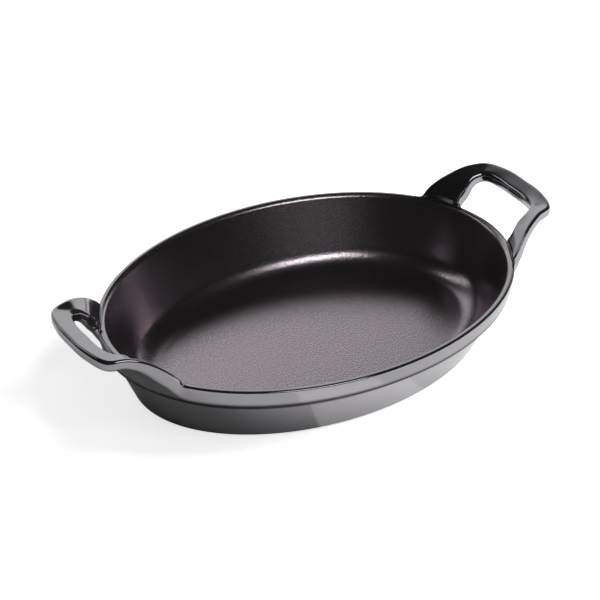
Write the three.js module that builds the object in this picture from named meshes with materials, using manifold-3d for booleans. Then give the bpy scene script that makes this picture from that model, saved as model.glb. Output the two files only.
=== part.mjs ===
// Oval cast iron baking dish with two loop handles, enamelled: millimetres, +Z up.
// The origin is the middle of the foot, on the table. +X runs along the dish to the right handle.
// The iron is a bowl and two handles. Glossy enamel covers the outside, the lip and the handles
// in one coat, matte enamel lines the inside, and a third coat fills the recess of the underside.

import * as THREE from "three";
import { mergeVertices } from "three/addons/utils/BufferGeometryUtils.js";
import Module from "manifold-3d";

const wasm = await Module();
wasm.setup();

// Bowl
const RIM_LENGTH = 280; // over the rim band, without the handles
const RIM_WIDTH = 208;
const RIM_HEIGHT = 47; // lip above the table
const BASE_INSET = 20; // how far the base lies inside the rim at each end
const BASE_NARROWING = 3; // how much further inside it lies at the long sides
const WALL = 5.4; // wall measured level, enamel included
const FLOOR = 5; // floor above the table, enamel included
const COVE_RADIUS = 16; // inside, between wall and floor
const BASE_EDGE_RADIUS = 2.5; // outside, between wall and foot

// Rim band and lip
const BAND_HEIGHT = 12.2;
const BAND_LEAN = 1.2; // how far the band's lower edge sits inside its top
const BAND_EDGE_RADIUS = 1.8;
const LIP_OUTER_RADIUS = 1.3;
const LIP_INNER_RADIUS = 3.2;

// Underside
const FOOT_WIDTH = 8; // flat ground ring that the dish stands on
const FOOT_STAND = 0.4; // how far the ring stands below the enamelled edge
const RECESS_DEPTH = 1.6; // underside inside the ring

// Handles
const HANDLE_REACH = 29; // bar's outer edge past the rim
const HANDLE_RISE = 23; // bar's top above the lip
const STRAP_THICKNESS = 7.5;
const STRAP_EDGE_RADIUS = 2.6;
const BAR_WIDTH = 12.5; // measured level, at mid length
const BAR_TILT = 2.5; // how much higher the bar's outer edge is than its inner one
const OPENING_WIDTH = 53; // finger gap between the legs
const BAR_HALF_LENGTH = 33.5; // mid length to the outer corner of the bar
const ROOT_HALF_LENGTH = 52.5; // mid length to the far end of a leg's root, along the rim
const ROOT_SINK = 10; // how deep inside the rim the middle of the strap ends
const ROOT_DEPTH = 5.8; // how far below the lip it ends

// Bends of the handles' edges
const BAR_BOW = 0.7; // outer edge behind the tip, half way to the bar's corner
const CORNER_BACK = 6.5; // and at that corner
const GAP_CORNER_BACK = 3.3; // inner edge behind its own tip, at the corner of the finger gap
const BEND_REACH = 7.25; // past the rim, where a leg turns over into the bar
const BEND_SPREAD = 4.8; // outer edge beyond the bar's corner there
const BEND_DROP = 2.2; // inner edge below the bar there
const LEG_SPREAD = 8.8; // outer edge beyond the bar's corner, half way down the leg
const LEG_DROP = 5; // outer edge below the crest, half way down the leg
const GAP_LEG_DROP = 9.9; // inner edge below the crest, half way down the leg
const LEG_CLEARANCE = 1.8; // between the rim and the foot of a leg, just above the lip

// Enamel
const COAT = 0.4;
const SEAT_GAP = 0.1; // between each coat and the iron, and between handle and bowl
const PARTING_GAP = 0.25; // on the lip, between the glossy coat and the matte one

// Fineness of the facets
const ROUND_STEPS = 56; // around the oval
const ARC_STEPS = 3; // along each rounded edge of the profile
const COVE_STEPS = 5;
const STRAP_STEPS = 26; // along a handle, root to root
const CORNER_STEPS = 2; // around each edge of the strap's section

const RIM_A = RIM_LENGTH / 2;
const RIM_B = RIM_WIDTH / 2;
const IRON_INSET = COAT + SEAT_GAP;
const RUN_ON = 5; // how far a cutter passes the edge of what it cuts

// Profile of the bowl. A point is (reach, height): reach is measured level from the rim's oval,
// positive outwards, so the whole wall lies at negative reach. Lines run up the outside, over the
// lip and down the inside, with the material on their left.

const point = (reach, height) => new THREE.Vector2(reach, height);
const wallReach = (height) => -BASE_INSET * (1 - height / RIM_HEIGHT);
const wallLean = Math.atan2(BASE_INSET, RIM_HEIGHT); // from upright

function arc(centre, radius, from, to, steps) {
  const curve = new THREE.EllipseCurve(centre.x, centre.y, radius, radius, from, to, to < from);
  return curve.getPoints(steps);
}

// Centre of a round that touches the level line at the given height and the sloping wall line
// through wallReach() shifted by `shift`. The centre is on the inner side of that wall line.
function roundCentre(radius, height, shift) {
  const middle = height + radius;
  return point(wallReach(middle) + shift - radius / Math.cos(wallLean), middle);
}

const partingReach = -WALL + LIP_INNER_RADIUS + PARTING_GAP; // inner edge of the glossy coat

function outerLine() {
  const edge = roundCentre(BASE_EDGE_RADIUS, FOOT_STAND, 0);
  const bandFoot = RIM_HEIGHT - BAND_HEIGHT;
  const bandEdge = point(-BAND_LEAN - BAND_EDGE_RADIUS, bandFoot + BAND_EDGE_RADIUS);
  const lip = point(-LIP_OUTER_RADIUS, RIM_HEIGHT - LIP_OUTER_RADIUS);
  return [
    ...arc(edge, BASE_EDGE_RADIUS, -Math.PI / 2, -wallLean, ARC_STEPS),
    point(wallReach(bandFoot), bandFoot),
    ...arc(bandEdge, BAND_EDGE_RADIUS, -Math.PI / 2, 0, ARC_STEPS - 1),
    ...arc(lip, LIP_OUTER_RADIUS, 0, Math.PI / 2, ARC_STEPS),
    point(partingReach, RIM_HEIGHT),
  ];
}

function innerLine() {
  const lip = point(-WALL + LIP_INNER_RADIUS, RIM_HEIGHT - LIP_INNER_RADIUS);
  const lipRound = arc(lip, LIP_INNER_RADIUS, Math.PI / 2, Math.PI - wallLean, ARC_STEPS);
  const cove = roundCentre(COVE_RADIUS, FLOOR, -WALL);
  const coveRound = arc(cove, COVE_RADIUS, -wallLean, -Math.PI / 2, COVE_STEPS);
  return [...lipRound, ...coveRound];
}

// The same line moved by `distance` to its left, into the material.
function movedLine(line, distance) {
  const normals = line.slice(1).map((end, i) => {
    const along = end.clone().sub(line[i]).normalize();
    return point(-along.y, along.x);
  });
  return line.map((here, i) => {
    const before = normals[Math.max(i - 1, 0)];
    const after = normals[Math.min(i, normals.length - 1)];
    const middle = before.clone().add(after).normalize();
    return here.clone().addScaledVector(middle, distance / middle.dot(before));
  });
}

// A turned body of oval plan. The profile is revolved as a circle as long as the dish, and each
// circle is then narrowed by an amount that depends only on its height, so that the wall keeps
// one thickness all round.
function ovalLathe(line) {
  const turned = line.map((p) => point(RIM_A + p.x, p.y));
  const geometry = new THREE.LatheGeometry(turned, ROUND_STEPS).rotateX(Math.PI / 2);
  const place = geometry.getAttribute("position");
  for (let i = 0; i < place.count; i++) {
    const radius = Math.hypot(place.getX(i), place.getY(i));
    const narrowing = RIM_A - RIM_B + BASE_NARROWING * (1 - place.getZ(i) / RIM_HEIGHT);
    if (radius > narrowing) place.setY(i, place.getY(i) * (1 - narrowing / radius));
  }
  return solidOf(geometry);
}

const onAxis = (height) => point(-RIM_A, height);

// Solids and meshes

function solidOf(geometry) {
  geometry.deleteAttribute("normal");
  geometry.deleteAttribute("uv");
  const merged = mergeVertices(geometry, 1e-4);
  const corners = [];
  const index = merged.index.array;
  for (let i = 0; i < index.length; i += 3) {
    const [a, b, c] = index.slice(i, i + 3);
    if (a !== b && b !== c && c !== a) corners.push(a, b, c);
  }
  const mesh = { numProp: 3, vertProperties: merged.attributes.position.array };
  const solid = new wasm.Manifold(new wasm.Mesh({ ...mesh, triVerts: new Uint32Array(corners) }));
  if (solid.volume() > 0) return solid;
  const turned = corners.map((_, i) => corners[i - (i % 3) + [0, 2, 1][i % 3]]);
  return new wasm.Manifold(new wasm.Mesh({ ...mesh, triVerts: new Uint32Array(turned) }));
}

function meshOf(name, solid, material) {
  const { vertProperties, triVerts } = solid.getMesh();
  const geometry = new THREE.BufferGeometry();
  geometry.setAttribute("position", new THREE.BufferAttribute(vertProperties, 3));
  geometry.setIndex(new THREE.BufferAttribute(triVerts, 1));
  geometry.computeVertexNormals();
  const mesh = new THREE.Mesh(geometry, material);
  mesh.name = name;
  return mesh;
}

// Bowl

const footOuter = roundCentre(BASE_EDGE_RADIUS, FOOT_STAND, 0).x;
const footInner = footOuter - FOOT_WIDTH;

// Everything inside the outer line moved in by `inset`, up to the parting on the lip. A cutter
// runs on past the lip and below the foot, so that what it cuts is left open there.
function outerBody(inset, runOn = 0) {
  const line = movedLine(outerLine(), inset);
  const first = line[0];
  const last = line[line.length - 1];
  if (runOn) {
    line.unshift(point(first.x, first.y - runOn));
    line.push(point(last.x, last.y + runOn));
  }
  return ovalLathe([onAxis(first.y - runOn), ...line, onAxis(last.y + runOn)]);
}

function ironBowl() {
  const outside = movedLine(outerLine(), IRON_INSET);
  const inside = movedLine(innerLine(), IRON_INSET);
  const floor = inside[inside.length - 1].y;
  return ovalLathe([
    onAxis(RECESS_DEPTH),
    point(footInner, RECESS_DEPTH),
    point(footInner, 0),
    point(outside[0].x, 0),
    ...outside,
    ...inside,
    onAxis(floor),
  ]);
}

// The space inside the inner line moved out by `inset`, filled up to the given height.
function innerBody(inset, top) {
  const line = movedLine(innerLine(), inset);
  const floor = line[line.length - 1].y;
  return ovalLathe([onAxis(top), point(line[0].x, top), ...line, onAxis(floor)]);
}

function interiorEnamel() {
  return innerBody(COAT, RIM_HEIGHT).subtract(innerBody(0, RIM_HEIGHT + RUN_ON));
}

function undersideEnamel() {
  const edge = footInner - SEAT_GAP;
  const top = RECESS_DEPTH - SEAT_GAP;
  return ovalLathe([onAxis(top - COAT), point(edge, top - COAT), point(edge, top), onAxis(top)]);
}

// Handle: a strap lofted between an inner edge, which bounds the finger gap, and an outer edge.
// Its legs grow out of the rim band along the rim, climb, and bend over into the level bar.

// A place beside the rim's oval, `out` past it, at the given distance from mid length.
function besideRim(across, out, height) {
  const along = RIM_A * Math.sqrt(1 - (across / RIM_B) ** 2);
  const away = new THREE.Vector2(along / RIM_A ** 2, across / RIM_B ** 2).normalize();
  return new THREE.Vector3(along + away.x * out, across + away.y * out, height);
}

function strapEdges() {
  const tip = RIM_A + HANDLE_REACH;
  const innerTip = tip - BAR_WIDTH;
  const crest = RIM_HEIGHT + HANDLE_RISE - STRAP_THICKNESS / 2; // middle of the strap, outer edge
  const low = crest - BAR_TILT; // and inner edge
  const gap = OPENING_WIDTH / 2;
  const bend = RIM_A + BEND_REACH;
  const rootHeight = RIM_HEIGHT - ROOT_DEPTH;
  const at = (x, y, z) => new THREE.Vector3(x, y, z);
  const inner = [
    at(innerTip, 0, low),
    at(innerTip, gap / 2, low),
    at(innerTip - GAP_CORNER_BACK, 0.91 * gap, low),
    at(bend, gap, low - BEND_DROP),
    at(bend - LEG_DROP, gap, crest - GAP_LEG_DROP),
    besideRim(gap, LEG_CLEARANCE, RIM_HEIGHT + LEG_CLEARANCE),
    besideRim(gap, -0.3 * ROOT_SINK, rootHeight),
    besideRim(gap, -ROOT_SINK, rootHeight),
  ];
  const outer = [
    at(tip, 0, crest),
    at(tip - BAR_BOW, BAR_HALF_LENGTH / 2, crest),
    at(tip - CORNER_BACK, BAR_HALF_LENGTH, crest - BAR_BOW),
    at(bend + GAP_CORNER_BACK, BAR_HALF_LENGTH + BEND_SPREAD, crest - BAR_BOW),
    at(bend - BEND_REACH, BAR_HALF_LENGTH + LEG_SPREAD, crest - LEG_DROP),
    besideRim(ROOT_HALF_LENGTH - BEND_SPREAD, LEG_CLEARANCE, RIM_HEIGHT + LEG_CLEARANCE),
    besideRim(ROOT_HALF_LENGTH, -0.3 * ROOT_SINK, rootHeight),
    besideRim(ROOT_HALF_LENGTH, -ROOT_SINK, rootHeight),
  ];
  return { inner: throughBothLegs(inner), outer: throughBothLegs(outer) };
}

// One smooth curve from the root at -Y, over the bar, to the root at +Y.
function throughBothLegs(half) {
  const mirrored = half.slice(1).map((p) => new THREE.Vector3(p.x, -p.y, p.z));
  return new THREE.CatmullRomCurve3([...mirrored.reverse(), ...half]);
}

// Rounded rectangle around the origin, anticlockwise, as (across the strap, through it).
function strapSection(width, thickness, radius) {
  const corners = [0, 1, 2, 3].flatMap((quarter) => {
    const from = (quarter * Math.PI) / 2;
    const side = [1, -1, -1, 1][quarter] * (width / 2 - radius);
    const face = [1, 1, -1, -1][quarter] * (thickness / 2 - radius);
    return arc(point(side, face), radius, from, from + Math.PI / 2, CORNER_STEPS);
  });
  return corners;
}

function strap(inset) {
  const { inner, outer } = strapEdges();
  const rings = [];
  for (let i = 0; i <= STRAP_STEPS; i++) {
    const u = i / STRAP_STEPS;
    const near = inner.getPoint(u);
    const far = outer.getPoint(u);
    const across = far.clone().sub(near);
    const ahead = inner.getTangent(u).add(outer.getTangent(u)).normalize();
    const through = across.clone().cross(ahead).normalize();
    const width = across.length() - 2 * inset;
    const middle = near.add(far).multiplyScalar(0.5);
    across.normalize();
    const lean = across.z / through.z; // keeps the strap's sides upright where it tilts
    const section = strapSection(width, STRAP_THICKNESS - 2 * inset, STRAP_EDGE_RADIUS - inset);
    const placed = (p) => middle.clone().addScaledVector(across, p.x + lean * p.y);
    rings.push(section.map((p) => placed(p).addScaledVector(through, p.y)));
  }
  return solidOf(lofted(rings));
}

// Skin over a row of rings with the same number of points, closed by a fan at each end.
function lofted(rings) {
  const count = rings[0].length;
  const centre = (ring) => ring.reduce((sum, p) => sum.add(p), new THREE.Vector3()).divideScalar(count);
  const points = [...rings.flat(), centre(rings[0]), centre(rings[rings.length - 1])];
  const index = [];
  for (let r = 0; r < rings.length - 1; r++) {
    for (let i = 0; i < count; i++) {
      const a = r * count + i;
      const b = r * count + ((i + 1) % count);
      index.push(a, b, b + count, a, b + count, a + count);
    }
  }
  const last = (rings.length - 1) * count;
  for (let i = 0; i < count; i++) {
    const next = (i + 1) % count;
    index.push(points.length - 2, next, i, points.length - 1, last + i, last + next);
  }
  const geometry = new THREE.BufferGeometry().setFromPoints(points);
  return geometry.setIndex(index);
}

const HALF_TURN = [0, 0, 180]; // the left handle is the right one turned about the upright axis

function bothStraps(inset) {
  const right = strap(inset);
  return right.add(right.rotate(HALF_TURN));
}

// Above the lip each leg's root ends upright at the parting, and the coat closes over that end.
// This is the plug that cuts it off there, `guard` wider than the parting.
function lipPlug(guard) {
  const reach = partingReach + guard;
  const low = RIM_HEIGHT - RUN_ON;
  const high = RIM_HEIGHT + RUN_ON;
  return ovalLathe([onAxis(low), point(reach, low), point(reach, high), onAxis(high)]);
}

function exteriorEnamel() {
  const whole = outerBody(0).add(bothStraps(0));
  const straps = bothStraps(COAT).subtract(lipPlug(COAT));
  return whole.subtract(outerBody(COAT, RUN_ON).add(straps));
}

function ironHandle() {
  return strap(IRON_INSET).subtract(outerBody(COAT, RUN_ON)).subtract(lipPlug(IRON_INSET));
}

// The dish

const finish = (color, roughness, metalness) =>
  new THREE.MeshStandardMaterial({ color, roughness, metalness });
const iron = () => finish(0x4a4746, 0.75, 0.6);
const gloss = () => finish(0x59575a, 0.18, 0);
const matte = () => finish(0x1b191a, 0.5, 0);

const handle = ironHandle();
const leftHandle = meshOf("left_handle", handle, iron());
leftHandle.rotation.z = Math.PI;

const dish = new THREE.Group();
dish.add(
  meshOf("iron_bowl", ironBowl(), iron()),
  leftHandle,
  meshOf("right_handle", handle, iron()),
  meshOf("exterior_enamel", exteriorEnamel(), gloss()),
  meshOf("interior_enamel", interiorEnamel(), matte()),
  meshOf("underside_enamel", undersideEnamel(), gloss()),
);

export default dish;
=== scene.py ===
import math

import bmesh
import bpy
from mathutils import Matrix, Vector, kdtree


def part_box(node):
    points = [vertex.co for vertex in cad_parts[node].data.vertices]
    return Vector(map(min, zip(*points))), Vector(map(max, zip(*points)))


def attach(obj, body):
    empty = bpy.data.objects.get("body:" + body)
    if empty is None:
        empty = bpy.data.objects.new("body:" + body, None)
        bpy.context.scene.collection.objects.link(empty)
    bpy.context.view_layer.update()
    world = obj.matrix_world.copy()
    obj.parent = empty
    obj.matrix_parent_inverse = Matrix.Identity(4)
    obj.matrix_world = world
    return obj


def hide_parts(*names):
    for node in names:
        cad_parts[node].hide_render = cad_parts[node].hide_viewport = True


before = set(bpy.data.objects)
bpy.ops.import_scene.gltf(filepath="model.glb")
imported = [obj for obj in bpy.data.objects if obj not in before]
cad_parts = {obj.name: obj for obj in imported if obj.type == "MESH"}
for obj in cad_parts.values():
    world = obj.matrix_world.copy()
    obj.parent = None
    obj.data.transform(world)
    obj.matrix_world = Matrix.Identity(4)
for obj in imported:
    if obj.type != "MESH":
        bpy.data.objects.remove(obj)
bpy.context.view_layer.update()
mm = 0.001
scene = bpy.context.scene
scene.view_settings.view_transform = "Standard"

coat = {
    "thickness": 0.4 * mm,
    "bondGap": 0.1 * mm,  # between the coats and the iron
}


# shader graphs
class Wire:
    def __init__(self, tree, socket=None):
        self.tree = tree
        self.socket = socket

    def make(self, kind, sockets={}, output=0, **settings):
        node = self.tree.nodes.new(kind)
        for name, setting in settings.items():
            setattr(node, name, setting)
        for name, given in sockets.items():
            if isinstance(given, Wire):
                self.tree.links.new(given.socket, node.inputs[name])
            else:
                node.inputs[name].default_value = given
        return Wire(self.tree, node.outputs[output] if node.outputs else None)

    def maths(self, operation, first, second):
        return self.make("ShaderNodeMath", {0: first, 1: second}, operation=operation)

    def __add__(self, other):
        return self.maths("ADD", self, other)

    def __sub__(self, other):
        return self.maths("SUBTRACT", self, other)

    def __rsub__(self, other):
        return self.maths("SUBTRACT", other, self)

    def __mul__(self, other):
        return self.maths("MULTIPLY", self, other)


def newMaterial(name):
    material = bpy.data.materials.new(name)
    material.use_nodes = True
    material.node_tree.nodes.clear()
    return material, Wire(material.node_tree)


def objectPlace(graph):
    return graph.make("ShaderNodeTexCoord", output="Object")


def noise(graph, perMetre, detail):
    sockets = {"Vector": objectPlace(graph), "Scale": perMetre, "Detail": detail}
    return graph.make("ShaderNodeTexNoise", sockets)


def ramp(graph, value, start, end, low, high):
    return graph.make(
        "ShaderNodeMapRange",
        {"Value": value, "From Min": start, "From Max": end, "To Min": low, "To Max": high},
        interpolation_type="SMOOTHSTEP",
    )


def dot(graph, vector, direction):
    sockets = {0: vector, 1: direction}
    return graph.make("ShaderNodeVectorMath", sockets, "Value", operation="DOT_PRODUCT")


def blendColours(graph, amount, low, high):
    sockets = {"Factor": amount, "A": low, "B": high}
    return graph.make("ShaderNodeMix", sockets, "Result", data_type="RGBA")


def variedRoughness(values, pattern):
    return (pattern - 0.5) * values["roughnessSpread"] + values["roughness"]


def finishSurface(graph, values, colour, roughness, relief):
    bump = graph.make(
        "ShaderNodeBump",
        {"Strength": values["reliefStrength"], "Distance": values["reliefDepth"], "Height": relief},
    )
    sockets = {"Base Color": colour, "Roughness": roughness, "Normal": bump}
    sockets["Metallic"] = values["metallic"]
    shader = graph.make("ShaderNodeBsdfPrincipled", sockets)
    graph.make("ShaderNodeOutputMaterial", {"Surface": shader})


# glossy grey enamel of the outside, the lip and the handles
glossEnamel = {
    "deep": (0.372, 0.36, 0.38, 1),
    "pale": (0.412, 0.398, 0.42, 1),
    "metallic": 0.98,  # the glaze mirrors like polished graphite
    "cloudPerMetre": 55,  # slow change of tone
    "cloudDetail": 2,
    "roughness": 0.1,
    "roughnessSpread": 0.04,
    "flowPerMetre": 150,  # the gentle unevenness of fired enamel
    "flowDetail": 1,
    "reliefDepth": 0.02 * mm,
    "reliefStrength": 0.35,
    "paintedShadeFoot": (28.4 * mm, 30.4 * mm),  # painted shade: the base colour is darkened at the foot of the rim band and just beneath it, where shade falls
    "paintedShadeTop": (35.1 * mm, 38.4 * mm),
    "paintedShadeTone": 0.02,
    "paintedShadeColour": (0.004, 0.004, 0.004, 1),
}


# painted shade: a dark ring of base colour between these heights, at the foot of the rim band
def underBandPaintedShade(graph, values):
    height = dot(graph, objectPlace(graph), (0, 0, 1))
    aboveFoot = ramp(graph, height, *values["paintedShadeFoot"], 0, 1)
    paintedShadeAmount = aboveFoot * ramp(graph, height, *values["paintedShadeTop"], 1, 0)
    return 1 - paintedShadeAmount * (1 - values["paintedShadeTone"])


def glossEnamelMaterial(values):
    material, graph = newMaterial("glossEnamel")
    cloud = noise(graph, values["cloudPerMetre"], values["cloudDetail"])
    glaze = blendColours(graph, cloud, values["deep"], values["pale"])
    # the painted shade under the rim band darkens the glaze here
    colour = blendColours(graph, underBandPaintedShade(graph, values), values["paintedShadeColour"], glaze)
    flow = noise(graph, values["flowPerMetre"], values["flowDetail"])
    finishSurface(graph, values, colour, variedRoughness(values, cloud), flow)
    return material


# matte black enamel of the inside, with a fine grain that glints
matteEnamel = {
    "deep": (0.275, 0.242, 0.262, 1),
    "pale": (0.835, 0.736, 0.796, 1),
    "metallic": 0.997,  # black where it mirrors the dark room
    "grainPerMetre": 800,
    "grainDetail": 2,
    "reliefDepth": 0.1 * mm,
    "reliefStrength": 1,
    "roughness": 0.22,
    "roughnessSpread": 0.06,
}


def matteEnamelMaterial(values):
    material, graph = newMaterial("matteEnamel")
    grain = noise(graph, values["grainPerMetre"], values["grainDetail"])
    colour = blendColours(graph, grain, values["deep"], values["pale"])
    finishSurface(graph, values, colour, variedRoughness(values, grain), grain)
    return material


# bare iron, ground on the foot ring
groundIron = {
    "deep": (0.06, 0.057, 0.055, 1),
    "pale": (0.13, 0.125, 0.12, 1),
    "metallic": 0.8,
    "pitPerMetre": 700,
    "pitDetail": 4,
    "reliefDepth": 0.06 * mm,
    "reliefStrength": 0.4,
    "roughness": 0.55,
}


def groundIronMaterial(values):
    material, graph = newMaterial("groundIron")
    pits = noise(graph, values["pitPerMetre"], values["pitDetail"])
    colour = blendColours(graph, pits, values["deep"], values["pale"])
    finishSurface(graph, values, colour, values["roughness"], pits)
    return material


gloss = glossEnamelMaterial(glossEnamel)
matte = matteEnamelMaterial(matteEnamel)
iron = groundIronMaterial(groundIron)
print("materials made")


# turned oval pieces: a rounded wire of the profile, spun and then narrowed
bowl = {
    "baseInset": 20 * mm,  # how far the base lies inside the rim at each end
    "baseNarrowing": 3 * mm,  # and how much further at the long sides
    "wall": 5.4 * mm,
    "floor": 5 * mm,
    "coveRound": 16 * mm,
    "baseRound": 2.5 * mm,
    "bandHeight": 13.1 * mm,
    "bandLean": 1.44 * mm,
    "bandFlare": 0.17 * mm,  # the band's face, run on up to the height of the lip
    "bandRound": 1.8 * mm,
    "ledgeRound": 0.9 * mm,
    "lipOuterRound": 1.3 * mm,
    "lipInnerRound": 3.2 * mm,
    "partingTurn": math.radians(30),  # where the two coats meet on that round, from its top
    "partingGap": math.radians(1),
    "footStand": 0.4 * mm,
    "footWidth": 8 * mm,
    "footRound": 0.4 * mm,
    "footEdgeRound": 0.2 * mm,
    "recess": 1.6 * mm,
    "recessClearance": 0.3 * mm,
    "turns": 224,
    "roundSteps": 8,
    "longestStep": 2.5 * mm,
    "middleStart": 0.55,  # of the way in from the rim, where the floor's flat middle begins
    "fanReach": 0.4,  # nothing is cut within this share of the rim, so the middle stays one fan
    "weld": 0.001 * mm,
}
inset = coat["thickness"] + coat["bondGap"]
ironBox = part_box("iron_bowl")
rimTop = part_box("interior_enamel")[1][2]
rimA = ironBox[1][0] + inset  # half length of the rim's oval
rimB = ironBox[1][1] + inset + bowl["baseNarrowing"] * bowl["lipOuterRound"] / rimTop
rimSizes = [round(size / mm) for size in (2 * rimA, 2 * rimB, rimTop)]
print("frame: rim {} x {} mm, lip at {} mm".format(*rimSizes))


def wallReach(height):
    return -bowl["baseInset"] * (1 - height / rimTop)


def roundCorners(bm, verts, tangent, steps):
    bmesh.ops.bevel(
        bm, geom=verts, offset=tangent, offset_type="OFFSET", segments=steps, profile=0.5,
        affect="VERTICES", material=-1,
    )


def roundedWire(bm, corners):
    verts = [bm.verts.new((rimA + reach, 0, height)) for reach, height, _ in corners]
    for first, second in zip(verts, verts[1:]):
        bm.edges.new((first, second))
    spots = [v.co.copy() for v in verts]
    for i, (_, _, radius) in enumerate(corners):
        if radius:
            before = (spots[i - 1] - spots[i]).normalized()
            after = (spots[i + 1] - spots[i]).normalized()
            tangent = radius / math.tan(before.angle(after) / 2)
            roundCorners(bm, [verts[i]], tangent, bowl["roundSteps"])
    for edge in bm.edges[:]:
        steps = int(edge.calc_length() / bowl["longestStep"])
        if steps and all(v.co.x > bowl["fanReach"] * rimA for v in edge.verts):
            bmesh.ops.subdivide_edges(bm, edges=[edge], cuts=steps)


def spunOval(corners):
    bm = bmesh.new()
    roundedWire(bm, corners)
    bmesh.ops.spin(
        bm, geom=bm.verts[:] + bm.edges[:], cent=(0, 0, 0), axis=(0, 0, 1), angle=2 * math.pi,
        steps=bowl["turns"], use_merge=True,
    )
    bmesh.ops.remove_doubles(bm, verts=bm.verts[:], dist=bowl["weld"])
    for v in bm.verts:
        radius = math.hypot(v.co.x, v.co.y)
        narrowing = rimA - rimB + bowl["baseNarrowing"] * (1 - v.co.z / rimTop)
        if radius > narrowing:
            v.co.y *= 1 - narrowing / radius
    bmesh.ops.recalc_face_normals(bm, faces=bm.faces[:])
    return bm


def newPiece(name, bm, material):
    mesh = bpy.data.meshes.new(name)
    bm.to_mesh(mesh)
    bm.free()
    mesh.materials.append(material)
    mesh.polygons.foreach_set("use_smooth", [True] * len(mesh.polygons))
    piece = bpy.data.objects.new(name, mesh)
    scene.collection.objects.link(piece)
    return piece


def addThickness(piece, thickness):
    wall = piece.modifiers.new("coatThickness", "SOLIDIFY")
    wall.thickness = thickness
    wall.offset = -1


# meeting point of two tangents of the lip's inner round, which touch it at these turns
def lipCorner(start, end):
    middle = (start + end) / 2
    radius = bowl["lipInnerRound"]
    out = radius / math.cos((end - start) / 2)
    reach = radius - bowl["wall"] - out * math.sin(middle)
    return reach, rimTop - radius + out * math.cos(middle)


axis = -rimA  # reach of the middle of the dish
bandFoot = rimTop - bowl["bandHeight"]
glossEnd = bowl["partingTurn"]
matteEnd = glossEnd + bowl["partingGap"]
wallTurn = math.atan2(rimTop, bowl["baseInset"])  # where that round runs into the wall
outside = [
    (wallReach(bowl["footStand"]) - 2 * bowl["baseRound"], bowl["footStand"], 0),
    (wallReach(bowl["footStand"]), bowl["footStand"], bowl["baseRound"]),
    (wallReach(bandFoot), bandFoot, bowl["ledgeRound"]),
    (-bowl["bandLean"], bandFoot, bowl["bandRound"]),
    (bowl["bandFlare"], rimTop, bowl["lipOuterRound"]),
    (*lipCorner(0, glossEnd), bowl["lipInnerRound"]),
    (*lipCorner(glossEnd, glossEnd), 0),
]
inside = [
    (*lipCorner(matteEnd, matteEnd), 0),
    (*lipCorner(matteEnd, wallTurn), bowl["lipInnerRound"]),
    (wallReach(bowl["floor"]) - bowl["wall"], bowl["floor"], bowl["coveRound"]),
    (bowl["middleStart"] * axis, bowl["floor"], 0),
    (axis, bowl["floor"], 0),
]

# lining
liningBm = spunOval(inside)
if min(liningBm.faces, key=lambda face: face.calc_center_median().length).normal.z < 0:
    bmesh.ops.reverse_faces(liningBm, faces=liningBm.faces[:])
lining = newPiece("interiorLining", liningBm, matte)
addThickness(lining, coat["thickness"])
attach(lining, "root")
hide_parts("interior_enamel")
print("lining:", len(lining.data.polygons), "faces")

# iron bowl under the coats, with its foot ring and the recess inside it
footOuter = wallReach(bowl["footStand"]) - bowl["baseRound"]
footInner = footOuter - bowl["footWidth"]
casting = [
    (axis, bowl["recess"], 0),
    (footInner, bowl["recess"], bowl["footRound"]),
    (footInner, 0, bowl["footRound"]),
    (footOuter - inset, 0, bowl["footEdgeRound"]),
    (footOuter - inset, bowl["footStand"] + inset, 0),
    (wallReach(bandFoot) - 2 * inset, bandFoot + inset, 0),
    (-bowl["bandLean"] - 2 * inset, bandFoot + inset, 0),
    (-2 * inset, rimTop - bowl["lipOuterRound"], 0),
    (-bowl["lipOuterRound"], rimTop - inset, 0),
    (-bowl["wall"] + 2 * inset, rimTop - 2 * inset, bowl["lipInnerRound"]),
    (wallReach(bowl["floor"]) - bowl["wall"] + inset, bowl["floor"] - inset, bowl["coveRound"]),
    (axis, bowl["floor"] - inset, 0),
]
ironBowl = newPiece("ironBowl", spunOval(casting), iron)
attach(ironBowl, "root")
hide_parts("iron_bowl")
print("iron bowl:", len(ironBowl.data.polygons), "faces")

# coat in the recess of the underside
recessTop = bowl["recess"] - coat["bondGap"]
recessFace = recessTop - coat["thickness"]
recessEdge = footInner - bowl["recessClearance"]
recessCoat = [
    (axis, recessFace, 0),
    (recessEdge, recessFace, 0),
    (recessEdge, recessTop, 0),
    (axis, recessTop, 0),
]
underside = newPiece("undersideCoat", spunOval(recessCoat), gloss)
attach(underside, "root")
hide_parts("underside_enamel")
print("underside:", len(underside.data.polygons), "faces")

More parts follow.
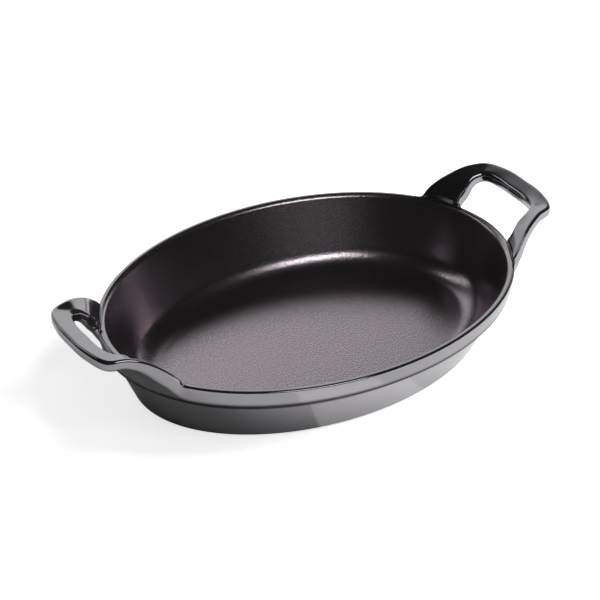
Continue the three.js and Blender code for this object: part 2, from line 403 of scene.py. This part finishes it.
# loop handles: a strap between an inner edge, which bounds the finger gap, and an outer edge
handle = {
    "reach": 28.92 * mm,  # past the rim
    "rise": 22.92 * mm,  # above the lip
    "thickness": 7.5 * mm,
    "edgeRound": 2.6 * mm,
    "barWidth": 12.5 * mm,
    "barTilt": 2.5 * mm,
    "openingWidth": 53 * mm,
    "barHalfLength": 33.5 * mm,
    "rootHalfLength": 52.5 * mm,
    "rootSink": 10 * mm,
    "rootDepth": 9 * mm,  # below the lip
    "rootEnd": 1.95 * mm,  # inside the rim, where the legs end upright above the lip
    "barBow": 0.7 * mm,
    "bowAt": 0.55,  # shares of half the opening
    "gapCornerAt": 0.91,
    "cornerBack": 6.5 * mm,
    "gapCornerBack": 3.3 * mm,
    "bendReach": 7.25 * mm,  # past the rim, where a leg turns over into the bar
    "bendSpread": 4.8 * mm,
    "bendDrop": 2.2 * mm,
    "legSpread": 8.8 * mm,
    "legDrop": 5 * mm,
    "gapLegDrop": 9.9 * mm,
    "legClearance": 1.8 * mm,
    "stations": 112,
    "edgeSteps": 7,
    "faceCuts": 5,
    "weld": 0.002 * mm,
    "blendReach": 3.2 * mm,  # how far the roots flow into the rim
    "blendRounds": {1: 3, 0.75: 4, 0.5: 6, 0.3: 8},  # rounds of smoothing within this share of it
    "coreDepth": 1 * mm,  # of the iron under the coat's face
}
handleTurns = {"right_handle": 0, "left_handle": math.pi}


def besideRim(across, out, height):
    along = rimA * math.sqrt(1 - (across / rimB) ** 2)
    away = Vector((along / rimA**2, across / rimB**2)).normalized()
    return Vector((along + away.x * out, across + away.y * out, height))


def strapEdges():
    crest = rimTop + handle["rise"] - handle["thickness"] / 2
    low = crest - handle["barTilt"]
    gap = handle["openingWidth"] / 2
    half = handle["barHalfLength"]
    tip = rimA + handle["reach"]
    innerTip = tip - handle["barWidth"]
    bend = rimA + handle["bendReach"]
    rootHeight = rimTop - handle["rootDepth"]
    clear, sink = handle["legClearance"], handle["rootSink"]
    rootHalf = handle["rootHalfLength"]
    inner = [
        Vector((innerTip, 0, low)),
        Vector((innerTip - handle["barBow"] / 2, handle["bowAt"] * gap, low)),
        Vector((innerTip - handle["gapCornerBack"], handle["gapCornerAt"] * gap, low)),
        Vector((bend, gap, low - handle["bendDrop"])),
        Vector((bend - handle["legDrop"], gap, crest - handle["gapLegDrop"])),
        besideRim(gap, clear, rimTop + clear),
        besideRim(gap, -sink / 2, rootHeight),
        besideRim(gap, -sink, rootHeight),
    ]
    outer = [
        Vector((tip, 0, crest)),
        Vector((tip - handle["barBow"], half / 2, crest)),
        Vector((tip - handle["cornerBack"], half, crest - handle["barBow"])),
        Vector((
            bend + handle["gapCornerBack"],
            half + handle["bendSpread"],
            crest - handle["barBow"],
        )),
        Vector((rimA, half + handle["legSpread"], crest - handle["legDrop"])),
        besideRim(rootHalf - handle["bendSpread"], clear, rimTop + clear),
        besideRim(rootHalf, -sink / 2, rootHeight),
        besideRim(rootHalf, -sink, rootHeight),
    ]
    return throughBothLegs(inner), throughBothLegs(outer)


def throughBothLegs(half):
    return [Vector((p.x, -p.y, p.z)) for p in half[:0:-1]] + half


# a smooth curve through the points, at share u of their count
def alongCurve(points, u):
    place = u * (len(points) - 1)
    i = min(int(place), len(points) - 2)
    t = place - i
    p1, p2 = points[i], points[i + 1]
    p0 = points[i - 1] if i else 2 * p1 - p2
    p3 = points[i + 2] if i + 2 < len(points) else 2 * p2 - p1
    d0, d1, d2 = (math.sqrt((b - a).length) for a, b in ((p0, p1), (p1, p2), (p2, p3)))
    m1 = ((p1 - p0) / d0 - (p2 - p0) / (d0 + d1) + (p2 - p1) / d1) * d1
    m2 = ((p2 - p1) / d1 - (p3 - p1) / (d1 + d2) + (p3 - p2) / d2) * d1
    return (
        p1 * (2 * t**3 - 3 * t**2 + 1) + m1 * (t**3 - 2 * t**2 + t)
        + p2 * (3 * t**2 - 2 * t**3) + m2 * (t**3 - t**2)
    )


def strapStation(inner, outer, u):
    near, far = alongCurve(inner, u), alongCurve(outer, u)
    step = 1e-3
    ways = [
        (alongCurve(edge, min(u + step, 1)) - alongCurve(edge, max(u - step, 0))).normalized()
        for edge in (inner, outer)
    ]
    across = far - near
    through = across.cross(ways[0] + ways[1]).normalized()
    width = across.length
    across.normalize()
    # these leans keep both sides upright
    leans = [-way.cross(through).z / way.cross(across).z for way in ways]
    place = Matrix.Translation((near + far) / 2)
    turn = Matrix((across, through, across.cross(through))).transposed().to_4x4()
    return place @ turn, width, leans


# the strap's rounded section, pared down all round
def sectionRing(bm, width, pare):
    side, face = width / 2 - pare, handle["thickness"] / 2 - pare
    edgeRound = handle["edgeRound"] - pare
    corners = ((side, face), (-side, face), (-side, -face), (side, -face))
    verts = [bm.verts.new((x, y, 0)) for x, y in corners]
    for i in range(len(verts)):
        bm.edges.new((verts[i - 1], verts[i]))
    roundCorners(bm, verts, edgeRound, handle["edgeSteps"])
    for edge in bm.edges[:]:
        if edge.calc_length() > 2 * edgeRound:
            bmesh.ops.subdivide_edges(bm, edges=[edge], cuts=handle["faceCuts"])


# the ring of edges grown from this one, and each new point's place in the flat section
def nextRing(bm, ring, flat):
    grown = bmesh.ops.extrude_edge_only(bm, edges=ring)["geom"]
    fresh = {v for v in grown if isinstance(v, bmesh.types.BMVert)}
    edges = [e for e in grown if isinstance(e, bmesh.types.BMEdge) and set(e.verts) <= fresh]
    neighbours = ((v, e.other_vert(v)) for v in fresh for e in v.link_edges)
    return edges, {v: flat[old] for v, old in neighbours if old in flat}


def strapMesh(angle, pare):
    turn = Matrix.Rotation(angle, 4, "Z")
    inner, outer = strapEdges()
    bm = bmesh.new()
    _, firstWidth, _ = strapStation(inner, outer, 0)
    sectionRing(bm, firstWidth, pare)
    flat = {v: v.co.copy() for v in bm.verts}
    ring = bm.edges[:]
    for i in range(handle["stations"] + 1):
        if i:
            ring, flat = nextRing(bm, ring, flat)
        u = i / handle["stations"]
        place, width, (innerLean, outerLean) = strapStation(inner, outer, u)
        for v, local in flat.items():
            share = max(-1, min(1, local.x / (firstWidth / 2 - handle["edgeRound"])))
            lean = innerLean + (outerLean - innerLean) * (share + 1) / 2
            side = local.x + share * (width - firstWidth) / 2 + lean * local.y
            v.co = turn @ place @ Vector((side, local.y, 0))
    bmesh.ops.holes_fill(bm, edges=[e for e in bm.edges if e.is_boundary])
    bmesh.ops.recalc_face_normals(bm, faces=bm.faces[:])
    return bm


def combine(piece, operation, other):
    step = piece.modifiers.new(other.name, "BOOLEAN")
    step.operation = operation
    step.solver = "MANIFOLD"
    step.object = other


footHeight, partingHeight = outside[0][1], outside[-1][1]  # of the coat's two ends


def filledBody():
    corners = [(axis, footHeight, 0), *outside, (axis, partingHeight, 0)]
    return newPiece("filledBody", spunOval(corners), gloss)


# what the legs lose inside the rim, from the middle of their roots up
def lipPlug():
    end = -handle["rootEnd"]
    low, high = rimTop - handle["rootDepth"], rimTop + handle["rootSink"]
    corners = [(axis, low, 0), (end, low, 0), (end, high, 0), (axis, high, 0)]
    return newPiece("lipPlug", spunOval(corners), gloss)


# mesh of the combined piece, whose makings go
def combinedMesh(piece, *others):
    whole = piece.evaluated_get(bpy.context.evaluated_depsgraph_get())
    bm = bmesh.new()
    bm.from_mesh(whole.to_mesh())
    whole.to_mesh_clear()
    for used in (piece, *others):
        old = used.data
        bpy.data.objects.remove(used)
        bpy.data.meshes.remove(old)
    return bm


def ironCore(angle):
    core = newPiece("core", strapMesh(angle, handle["coreDepth"]), iron)
    cutters = [filledBody(), lipPlug()]
    for cutter in cutters:
        combine(core, "DIFFERENCE", cutter)
    return combinedMesh(core, *cutters)


def markFaces(piece, mark):
    piece.data.materials.append(mark)
    piece.data.polygons.foreach_set("material_index", [1] * len(piece.data.polygons))


# the marked faces tell blendRoots where the straps meet the body
def joinedShell():
    mark = bpy.data.materials.new("strapMark")
    body, plug = filledBody(), lipPlug()
    body.data.materials.append(mark)
    markFaces(plug, mark)
    straps = []
    for name, angle in handleTurns.items():
        strap = newPiece(name, strapMesh(angle, 0), gloss)
        markFaces(strap, mark)
        combine(strap, "DIFFERENCE", plug)
        combine(body, "UNION", strap)
        straps.append(strap)
    bm = combinedMesh(body, plug, *straps)
    bpy.data.materials.remove(mark)
    return bm


def insideOval(spot):
    top = spot.z > rimTop / 2
    reach = outside[-1][0] if top else outside[0][0]
    narrow = 0 if top else bowl["baseNarrowing"]
    within = 0.9995
    return math.hypot(spot.x / (rimA + reach), spot.y / (rimB + reach - narrow)) < within


def openShell(bm):  # the flat ends inside the lip and inside the foot go
    level, close = 0.999, 0.01 * mm
    ends = [
        f for f in bm.faces
        if abs(f.normal.z) > level
        and all(min(abs(v.co.z - z) for z in (footHeight, partingHeight)) < close for v in f.verts)
        and insideOval(f.calc_center_median())
    ]
    bmesh.ops.delete(bm, geom=ends, context="FACES")


def blendRoots(bm):
    bmesh.ops.remove_doubles(bm, verts=bm.verts[:], dist=handle["weld"])
    seamEdges = [e for e in bm.edges if len({f.material_index for f in e.link_faces}) > 1]
    seam = {v for e in seamEdges for v in e.verts}
    for f in bm.faces:
        f.material_index = 0
    tree = kdtree.KDTree(len(seam))
    for i, v in enumerate(seam):
        tree.insert(v.co, i)
    tree.balance()
    for share, rounds in handle["blendRounds"].items():
        near = [v for v in bm.verts if tree.find(v.co)[2] < share * handle["blendReach"]]
        for _ in range(rounds):
            bmesh.ops.smooth_vert(
                bm, verts=near, factor=0.5, use_axis_x=True, use_axis_y=True, use_axis_z=True,
            )
    print("roots blended:", len(seam), "seam points")


shellBm = joinedShell()
openShell(shellBm)
blendRoots(shellBm)
shell = newPiece("exteriorShell", shellBm, gloss)
addThickness(shell, coat["thickness"])
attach(shell, "root")
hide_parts("exterior_enamel")
print("shell:", len(shell.data.polygons), "faces")

# iron of the handles, inside the coat
for node, angle in handleTurns.items():
    core = newPiece("iron" + node.title().replace("_", ""), ironCore(angle), iron)
    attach(core, "root")
    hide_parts(node)
    print(core.name + ":", len(core.data.polygons), "faces")

# stage
stage = {
    "floorSize": 12,
    "floorDrop": 0.3 * mm,  # keeps the floor off the foot's own face
    "floorColour": (0.85, 0.85, 0.85, 1),
    "whiteForCamera": 0.75,
    "toRight": Vector((0.839, -0.545, 0)),  # across the picture
    "glowStripEdges": (6.5 * mm, 72 * mm),  # painted light: the floor glows in a strip between these, seen only in reflections
    "paintedLightStrip": 0.2,
    "farSide": Vector((0.545, 0.839, 0)),  # the lit backdrop lies this way
    "backdropSides": (0.5, 0.84),
    "backdropUp": Vector((0.4, -0.26, 1)),  # leans, so that its top edge falls to the right
    "backdropTop": (0.5, 0.7),
    "farStrength": 1,
    "nearStrength": 0.015,  # dark room behind the camera
    "paleSide": Vector((-0.15, -0.989, 0)),  # and a paler patch of it, this way
    "paleEdges": (0.84, 0.985),
    "paleStrength": 0.11,
}


def rayKinds(graph, *names):
    path = graph.make("ShaderNodeLightPath").socket.node
    return [Wire(graph.tree, path.outputs[name]) for name in names]


# painted light: a glowing strip of floor across the picture, seen only in reflections, in place of
# a lit patch of table
def paintedLightStrip(graph):
    across = dot(graph, objectPlace(graph), stage["toRight"])
    start, end = stage["glowStripEdges"]
    stripMask = graph.maths("GREATER_THAN", across, start) * graph.maths("LESS_THAN", across, end)
    return stripMask * stage["paintedLightStrip"]


def floorMaterial():
    material, graph = newMaterial("paleFloor")
    cameraRay, glossyRay = rayKinds(graph, "Is Camera Ray", "Is Glossy Ray")
    strength = cameraRay * stage["whiteForCamera"] + glossyRay * paintedLightStrip(graph)
    glow = graph.make("ShaderNodeEmission", {"Strength": strength})
    plain = graph.make("ShaderNodeBsdfDiffuse", {"Color": stage["floorColour"]})
    lit = graph.make("ShaderNodeAddShader", {0: glow, 1: plain})
    below = graph.make("ShaderNodeNewGeometry", output="Backfacing")
    clear = graph.make("ShaderNodeBsdfTransparent")  # as seen from underneath
    either = graph.make("ShaderNodeMixShader", {0: below, 1: lit, 2: clear})
    graph.make("ShaderNodeOutputMaterial", {"Surface": either})
    return material


floorBm = bmesh.new()
bmesh.ops.create_grid(floorBm, x_segments=1, y_segments=1, size=stage["floorSize"] / 2)
bmesh.ops.translate(floorBm, verts=floorBm.verts[:], vec=(0, 0, -stage["floorDrop"]))
floor = newPiece("floor", floorBm, floorMaterial())

world = bpy.data.worlds.new("studio")
world.use_nodes = True
world.node_tree.nodes.clear()
sky = Wire(world.node_tree)
(cameraRay,) = rayKinds(sky, "Is Camera Ray")
seen = sky.make("ShaderNodeTexCoord", output="Generated")
farward, upward, paleward = (
    dot(sky, seen, stage[way]) for way in ("farSide", "backdropUp", "paleSide")
)
between = ramp(sky, farward, *stage["backdropSides"], 0, stage["farStrength"])
under = ramp(sky, upward, *stage["backdropTop"], 1, 0)
pale = ramp(sky, paleward, *stage["paleEdges"], 0, stage["paleStrength"])
lit = between * under + pale + stage["nearStrength"]
strength = sky.maths("MAXIMUM", cameraRay, lit)
backdrop = sky.make("ShaderNodeBackground", {"Strength": strength})
sky.make("ShaderNodeOutputWorld", {"Surface": backdrop})
scene.world = world

lamps = {
    "key": {"place": (0.04, -0.92, 1.18), "size": (0.75, 0.42), "watts": 2.8, "mirrored": True},
    "fill": {"place": (1.04, -0.48, 0.96), "size": (0.8, 0.8), "watts": 30, "mirrored": False},
    "farLeft": {"place": (-0.65, 1.05, 0.87), "size": (0.35, 1.3), "watts": 0.9, "mirrored": True},
}
for name, values in lamps.items():
    light = bpy.data.lights.new(name, "AREA")
    light.shape = "RECTANGLE"
    light.size, light.size_y = values["size"]
    light.energy = values["watts"]
    lamp = bpy.data.objects.new(name, light)
    lamp.location = values["place"]
    lamp.rotation_euler = (-Vector(values["place"])).to_track_quat("-Z", "Y").to_euler()
    lamp.visible_glossy = values["mirrored"]
    scene.collection.objects.link(lamp)
print("stage lit by", len(lamps), "lamps")

view = {
    "azimuth": math.radians(-33.0),
    "elevation": math.radians(33.17),
    "distance": 1.4653,
    "target": Vector((-0.0001, 0.01095, 0.03)),
    "lens": 139.31,
    "sensor": 36,
}
back = Vector((
    math.sin(view["azimuth"]) * math.cos(view["elevation"]),
    -math.cos(view["azimuth"]) * math.cos(view["elevation"]),
    math.sin(view["elevation"]),
))
cameraData = bpy.data.cameras.new("camera")
cameraData.lens = view["lens"]
cameraData.sensor_width = view["sensor"]
camera = bpy.data.objects.new("camera", cameraData)
camera.location = view["target"] + back * view["distance"]
camera.rotation_euler = (-back).to_track_quat("-Z", "Y").to_euler()
scene.collection.objects.link(camera)
scene.camera = camera
